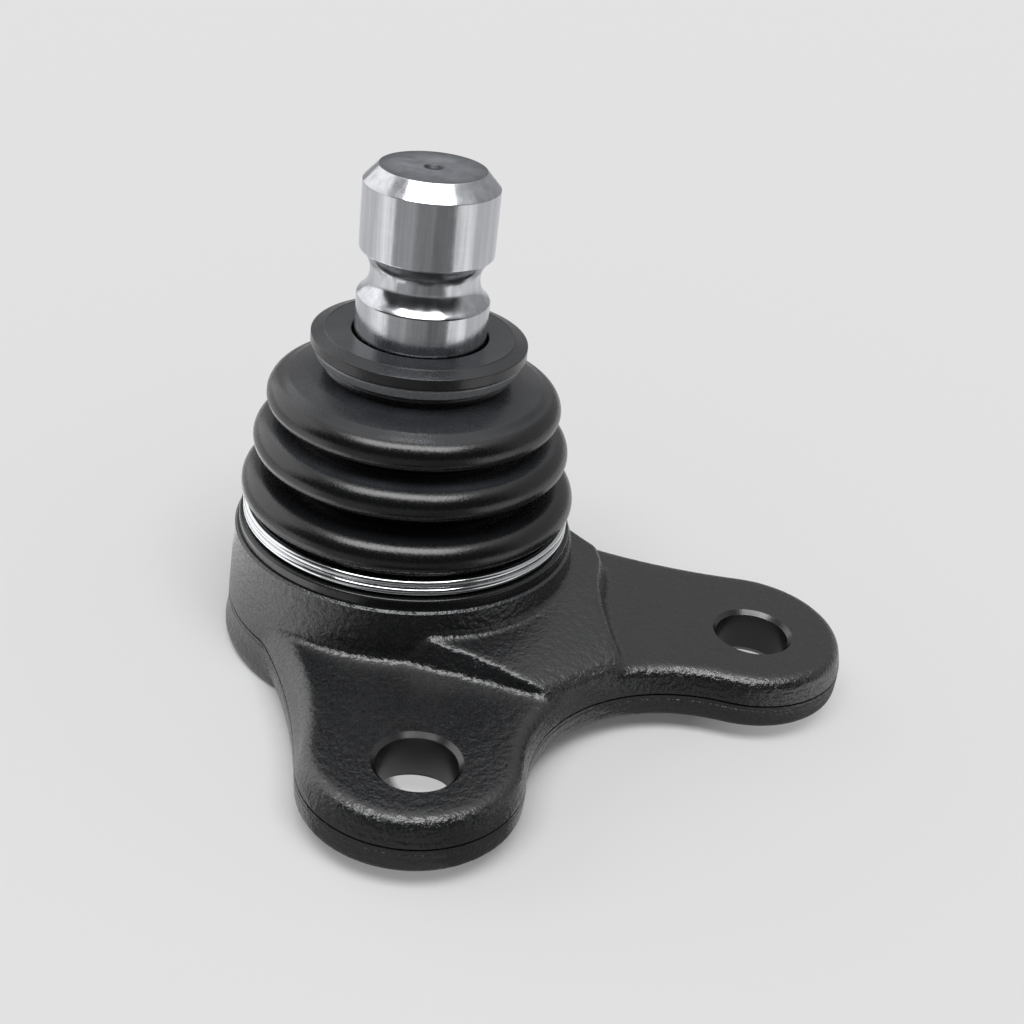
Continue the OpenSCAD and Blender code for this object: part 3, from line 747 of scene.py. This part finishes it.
class BALLJOINT_OT_stud(bpy.types.Operator):
    """Turn the ball stud: ball, neck, cone, two full diameters and the pinch groove"""
    bl_idname = "balljoint.stud"
    bl_label = "Ball stud"

    def execute(self, context):
        s = context.scene.ball_joint_stud
        r, top, ball = s.radius / MM, s.top / MM, s.ball / MM
        centre = SWING_CENTRE.z / MM
        neck, cone_low, cone_top = 7.6, 35.8, 48.8
        neck_rise = sqrt(ball ** 2 - neck ** 2)
        outline = arc((0, centre), ball, -90, degrees(atan2(neck_rise, neck)), 40)
        tip, groove_top, groove_low = top - 2.5, top - 13.0, top - 20.6
        half, deep = (groove_top - groove_low) / 2, 1.95
        bow = (half ** 2 + deep ** 2) / (2 * deep)
        spread = degrees(asin(half / bow))
        outline += rounded([(neck, centre + neck_rise), (neck, cone_low, 1.5),
                            (r, cone_top, 1.0), (r, groove_low - 0.12)], steps=6)
        outline += arc((r - deep + bow, groove_low + half), bow, 180 + spread - 2,
                       180 - spread + 2, 20)
        outline += rounded([
            (r, groove_top + 0.12), (r, tip, 0.12), (r - 2.3, top, 0.12), (1.5, top, 0.15),
            (1.1, top - 0.6, 0.1), (0.7, top - 0.5, 0.2), (0, top - 0.4)])
        outline[0] = (0, centre - ball)
        stud = turned("stud_turned", supported(outline), 160)
        smooth(stud, 32)
        finishes = context.scene.ball_joint_finishes
        ground = ground_steel("steel_turned_and_ground", finishes.stud, (0.14, 0.24), 0.1111,
                              line=0.05, streak=0.22, groove_shade_top=groove_top)
        finish_piece(stud, ground, "stud", "ball_stud")
        stud.data.materials.append(sawn_steel(finishes.end_face))
        for face in stud.data.polygons:
            if face.center.z > (top - 0.7) * MM and face.center.xy.length < (r - 2.35) * MM:
                face.material_index = 1
        return {"FINISHED"}


def fold(radius, z, shoulder, edge, inset, start):
    """One fold of the boot: a round shoulder over a tighter lower edge."""
    return (arc((radius - shoulder, z), shoulder - inset, start, 0, 12)
            + arc((radius - edge, z), edge - inset, 0, -90, 8)[1:])


def valley(bottom, high, low, inset):
    """The hollow between two folds."""
    r = (high - low) / 2
    return arc((bottom + r, (high + low) / 2), r + inset, 90, 270, 10)


class BALLJOINT_OT_boot(bpy.types.Operator):
    """Mould the boot: flat lip, neck, three folds and base flange"""
    bl_idname = "balljoint.boot"
    bl_label = "Dust boot"

    def execute(self, context):
        s = context.scene.ball_joint_boot
        # Each fold: its radius, the height of its widest line and the radii of its shoulder
        # and of its lower edge
        folds = [(s.fold_1 / MM, 44.4, 3.0, 2.0), (s.fold_2 / MM, 36.8, 3.2, 2.0),
                 (s.fold_3 / MM, 28.4, 3.2, 1.6)]
        valley_radius, wall, lip = 18.5, s.wall / MM, s.lip / MM
        lip_top, lip_low, mouth, neck_low = 56.0, 53.6, 11.0, 49.9
        grip, groove, flange, base, shelf = 25.1, 26.05, 28.1, 20.95, 26.8
        slope_end = 66  # where the slope under the neck meets the upper fold, in degrees

        def bellows(inset):
            points = []
            for i, (radius, z, shoulder, edge) in enumerate(folds):
                if i:
                    points += valley(valley_radius, folds[i - 1][1] - folds[i - 1][3],
                                     z + shoulder, inset)
                points += fold(radius, z, shoulder, edge, inset, 90 if i else slope_end)
            return points

        outer = rounded([
            (mouth, 54.0), (mouth, lip_top, 0.3), (12.0, lip_top), (lip - 2.35, lip_top),
            (lip - 2.2, lip_top + 0.1, 0.1), (lip - 2.05, 55.98), (lip, 55.3, 0.12),
            (lip, lip_low, 0.12), (14.2, lip_low), (14.2, neck_low, 0.5), (14.8, 49.3, 1.0),
            (17.5, 48.75), (20.6, 47.85, 2.0), (21.6, 47.4)])
        outer += bellows(0)
        outer += rounded([(groove, shelf), (groove, 22.8, 0.2), (flange, 22.7, 0.35),
                          (flange, 20.97, 0.2), (27.9, base)])
        inner = rounded([(mouth, 53.0), (11.9, 48.6, 1.0), (14.0, 47.7)]) + bellows(wall)
        inner += [(grip, shelf + 1.0), (grip, base)]
        boot = turned("boot_bellows", supported(outer) + inner[::-1], 192, closed=True)
        smooth(boot, 40)
        finishes = context.scene.ball_joint_finishes
        finish_piece(boot, boot_rubber(finishes.rubber, finishes.bloom_and_top_light), None,
                     "dust_boot")
        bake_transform(boot)
        return {"FINISHED"}


class BALLJOINT_OT_rings(bpy.types.Operator):
    """Make the neck ring and the wire ring round the boot's base"""
    bl_idname = "balljoint.rings"
    bl_label = "Boot rings"

    def execute(self, context):
        s = context.scene.ball_joint_rings
        finishes = context.scene.ball_joint_finishes
        inside, low, high = 14.25, 51.5, 53.35
        neck = turned("neck_band", supported(rounded([
            (inside, high), (17.0, high, 0.2), (17.1, 53.1, 0.2), (16.5, 51.6, 0.3),
            (16.1, low, 0.2), (inside, low)], closed=True), 0.06), 160, closed=True)
        smooth(neck, 35)
        finish_piece(neck, phosphated_steel(finishes.ring),
                     "boot_top", "neck_ring")
        # Each turn lies level and climbs to the next one over its last 30 degrees. The last
        # turn stops 4 degrees short of its climb.
        wire, radius = s.wire / MM, s.radius / MM
        lowest, pitch, climb, start = 23.65, wire + 0.1, 30.0, 60.0
        last = s.turns * 360 - climb - 4
        steps = 96 * s.turns
        clear_selection()
        bpy.ops.curve.primitive_nurbs_path_add()
        path = bpy.context.object
        path.name = path.data.name = "wire_turns"
        curve = path.data
        curve.splines.clear()
        spline = curve.splines.new("POLY")
        spline.points.add(steps)
        for k, point in enumerate(spline.points):
            a = last * k / steps
            turn, into = divmod(a, 360)
            lift = max(0.0, (into - 360 + climb) / climb)
            z = lowest + pitch * (turn + lift * lift * (3 - 2 * lift))
            t = radians(a + start)
            point.co = (radius * cos(t) * MM, radius * sin(t) * MM, z * MM, 1)
        curve.dimensions = "3D"
        curve.bevel_depth = wire / 2 * MM
        curve.bevel_resolution = 6
        curve.use_fill_caps = True
        activate(path)
        bpy.ops.object.convert(target="MESH")
        smooth(path, 50)
        drawn = ground_steel("spring_wire_drawn", finishes.wire, (0.06, 0.14), 0.1111, line=0.02)
        finish_piece(path, drawn, "socket", "boot_wire_ring")
        return {"FINISHED"}


class BALLJOINT_OT_inner(bpy.types.Operator):
    """Give the pieces inside the housing their finishes"""
    bl_idname = "balljoint.inner"
    bl_label = "Pieces inside"

    def execute(self, context):
        finishes = context.scene.ball_joint_finishes
        pressed = ground_steel("steel_pressed", finishes.pressed, (0.3, 0.42), 0.2)
        acetal = acetal_plastic(finishes.acetal)
        for name, material in (("retaining_ring", pressed), ("preload_spring", pressed),
                               ("upper_bearing_seat", acetal), ("lower_bearing_seat", acetal)):
            node = frame["nodes"][name]
            node.data.materials.clear()
            node.data.materials.append(material)
        return {"FINISHED"}


# The camera's line of sight along the floor, and its right
SIGHT = Vector((0.652, 0.758, 0.0))
RIGHT = Vector((0.758, -0.652, 0.0))

# Each softbox: its name, place, depth and width in metres, and its power in watts
LAMPS = (
    ("overhead_softbox", SIGHT * -0.55 + Vector((0, 0, 1.6)), 0.8, 1.7, 24.0),
    ("left_softbox", RIGHT * -1.5 + SIGHT * 0.6 + Vector((0, 0, 0.75)), 1.5, 2.2, 9.0),
)

# Cards on the floor round the part, which only reflections show, as the bands down the stud
# and the folds' dark fronts. Each has a name, the two bearings that it lies between, in degrees
# from the camera's side to the right, its nearest and furthest distance in metres, and its
# brightness, where 1 is white.
CARDS = (
    ("rear_white", -165, -115, 0.034, 0.085, 1.5), ("near_white", -115, -40, 0.05, 0.085, 1.5),
    ("near_left_grey", -40, -19, 0.06, 0.085, 0.38), ("left_white", -90, -54, 0.085, 0.8, 1.0),
    ("left_grey", -54, -19, 0.085, 0.8, 0.38), ("middle_grey", -19, 14, 0.06, 0.8, 0.26),
    ("right_grey", 14, 50, 0.06, 0.8, 0.18), ("right_white", 50, 84, 0.085, 0.8, 0.95),
    ("near_grey", 50, 105, 0.05, 0.085, 0.25),
)


def lay_floor(h, colour):
    """The pale paper floor. Near the part it takes light and shadow, but for two painted spots of
    light under the bolt holes, and further out it shows the camera its plain colour."""
    clear_selection()
    bpy.ops.mesh.primitive_plane_add(size=8.0)
    floor = bpy.context.object
    floor.name = "studio_floor"
    m = new_material("paper_backdrop_pale")
    rays = add_node(m, "LightPath")
    # It throws back half of its light, so that the undersides stay dark.
    bounce = add_node(m, "MapRange", {
        "Value": rays.outputs["Is Diffuse Ray"], "To Min": 1.0, "To Max": 0.5})
    seen = add_node(m, "VectorMath", {0: tuple(colour), "Scale": bounce}, operation="SCALE")
    diffuse = add_node(m, "BsdfDiffuse", {"Color": seen})
    glow = add_node(m, "Emission", {"Color": rgba(colour)})
    # The plain share is 0.12 within 55 mm of the axis and nears 1 far out.
    place = add_node(m, "TexCoord").outputs["Object"]
    away = add_node(m, "VectorMath", {0: place}, operation="LENGTH")
    near = add_node(m, "Math", {0: 55 * MM, 1: away.outputs["Value"]}, operation="DIVIDE")
    close = add_node(m, "Math", {0: near, 1: 1.5}, operation="POWER")
    far = add_node(m, "MapRange", {"Value": close, "To Min": 1.0, "To Max": 0.12})
    # Two spots of painted light, where the plain colour's share rises to 0.65, stand for lit floor
    # seen through the
    #     bolt holes. They lie past the holes, where the line of sight through them meets the
    #     floor.
    middle = (h.hole_shift + 7.8 * MM, 7.7 * MM - h.hole_reach, 0)
    shifted = add_node(m, "VectorMath", {0: place, 1: middle}, operation="SUBTRACT")
    mirrored = add_node(m, "VectorMath", {0: shifted}, operation="ABSOLUTE")
    from_spot = add_node(m, "VectorMath", {
        0: mirrored, 1: (h.hole_half, 0, 0)}, operation="DISTANCE")
    painted_light_spot = add_node(m, "MapRange", {
        "Value": from_spot.outputs["Value"], "From Min": 4.5 * MM, "From Max": 6.0 * MM,
        "To Min": 0.65, "To Max": 0.0})
    plain = add_node(m, "Math", {0: far, 1: painted_light_spot}, operation="MAXIMUM")
    share = add_node(m, "Math", {0: rays.outputs["Is Camera Ray"], 1: plain}, operation="MULTIPLY")
    mix = add_node(m, "MixShader", {0: share, 1: diffuse, 2: glow})
    add_node(m, "OutputMaterial", {"Surface": mix})
    floor.data.materials.append(m)


def set_world(scene, colour):
    """The studio: plain for the camera, dim as light, and in reflections a room that is
    brighter overhead and dark behind the camera."""
    world = bpy.data.worlds.new("studio_world")
    world.use_nodes = True
    world.node_tree.nodes.clear()
    rays = add_node(world, "LightPath")
    way = add_node(world, "TexCoord").outputs["Generated"]
    height = add_node(world, "SeparateXYZ", {0: way}).outputs["Z"]
    ceiling = add_node(world, "MapRange", {
        "Value": height, "From Min": 0.6, "From Max": 0.97, "To Min": 0.48, "To Max": 1.3},
        interpolation_type="SMOOTHSTEP")
    ahead = add_node(world, "VectorMath", {0: way, 1: tuple(SIGHT)}, operation="DOT_PRODUCT")
    front = add_node(world, "MapRange", {
        "Value": ahead.outputs["Value"], "From Min": -0.35, "From Max": 0.05, "To Min": 0.1},
        interpolation_type="SMOOTHSTEP")
    room = add_node(world, "Math", {0: ceiling, 1: front}, operation="MULTIPLY")
    lit = add_node(world, "Mix", {"Factor": rays.outputs["Is Glossy Ray"], "A": 0.25, "B": room})
    strength = add_node(world, "Math", {
        0: rays.outputs["Is Camera Ray"], 1: lit}, operation="MAXIMUM")
    ground = add_node(world, "Background", {"Color": rgba(colour), "Strength": strength})
    add_node(world, "OutputWorld", {"Surface": ground})
    scene.world = world


def hang_lamps():
    """The softboxes, turned to the part."""
    for name, place, deep, wide, power in LAMPS:
        clear_selection()
        bpy.ops.object.light_add(type="AREA", location=place)
        lamp = bpy.context.object
        lamp.name = name
        aim = Vector((0, 0, 0.03)) - place
        lamp.rotation_euler = aim.to_track_quat("-Z", "Y").to_euler()
        lamp.data.shape = "RECTANGLE"
        lamp.data.size, lamp.data.size_y = wide, deep
        lamp.data.energy = power


def lay_cards():
    """The cards, each a six-sided face just above the floor."""
    for name, low, high, near, far, brightness in CARDS:
        middle = (low + high) / 2
        rim = [(near, low), (far, low), (far, middle), (far, high), (near, high), (near, middle)]
        clear_selection()
        bpy.ops.mesh.primitive_circle_add(vertices=6, radius=0.1, fill_type="NGON")
        card = bpy.context.object
        card.name = name
        for point, (away, angle) in zip(card.data.vertices, rim):
            a = radians(angle)
            point.co = (RIGHT * sin(a) - SIGHT * cos(a)) * away + Vector((0, 0, MM))
        m = new_material(name + "_grey")
        glow = add_node(m, "Emission", {"Color": rgba([brightness] * 3)})
        add_node(m, "OutputMaterial", {"Surface": glow})
        card.data.materials.append(m)
        card.visible_camera = card.visible_diffuse = False
        card.visible_shadow = card.visible_transmission = False


def set_camera(scene):
    """The camera, where a fit to the circles on the part puts it."""
    bpy.ops.object.camera_add(location=(-0.128438, -0.177119, 0.146300),
                              rotation=[radians(a) for a in (60.7453, -6.0605, -37.2981)])
    camera = bpy.context.object
    camera.name = "studio_camera"
    camera.data.lens = 51.41
    camera.data.clip_start = 5 * MM
    scene.camera = camera
    scene.view_settings.view_transform = "Standard"


class BALLJOINT_OT_stage(bpy.types.Operator):
    """Set the floor, the world, the lamps, the cards and the camera"""
    bl_idname = "balljoint.stage"
    bl_label = "Studio stage"

    def execute(self, context):
        scene = context.scene
        colour = scene.ball_joint_finishes.floor
        lay_floor(scene.ball_joint_housing, colour)
        set_world(scene, colour)
        hang_lamps()
        lay_cards()
        set_camera(scene)
        return {"FINISHED"}


class BALLJOINT_PT_panel(bpy.types.Panel):
    """The ball joint's pieces, in the order they are made"""
    bl_idname = "BALLJOINT_PT_panel"
    bl_label = "Ball joint"
    bl_space_type = "VIEW_3D"
    bl_region_type = "UI"
    bl_category = "Ball joint"

    def draw(self, context):
        for operator in OPERATORS:
            self.layout.operator(operator.bl_idname)
        for name in SETTINGS:
            group = getattr(context.scene, name)
            box = self.layout.box()
            for key in group.__annotations__:
                box.prop(group, key)


SETTINGS = {
    "ball_joint_housing": HousingSizes, "ball_joint_stud": StudSizes,
    "ball_joint_boot": BootSizes, "ball_joint_rings": RingSizes,
    "ball_joint_finishes": Finishes,
}
OPERATORS = (BALLJOINT_OT_housing, BALLJOINT_OT_stud, BALLJOINT_OT_boot, BALLJOINT_OT_rings,
             BALLJOINT_OT_inner, BALLJOINT_OT_stage)


def register():
    for name, group in SETTINGS.items():
        bpy.utils.register_class(group)
        setattr(bpy.types.Scene, name, PointerProperty(type=group))
    for item in (*OPERATORS, BALLJOINT_PT_panel):
        bpy.utils.register_class(item)


def unregister():
    for item in (BALLJOINT_PT_panel, *reversed(OPERATORS)):
        bpy.utils.unregister_class(item)
    for name, group in reversed(SETTINGS.items()):
        delattr(bpy.types.Scene, name)
        bpy.utils.unregister_class(group)


def main():
    register()
    bpy.ops.balljoint.housing()
    bpy.ops.balljoint.stud()
    bpy.ops.balljoint.boot()
    bpy.ops.balljoint.rings()
    bpy.ops.balljoint.inner()
    bpy.ops.balljoint.stage()


if __name__ == "__main__":
    main()
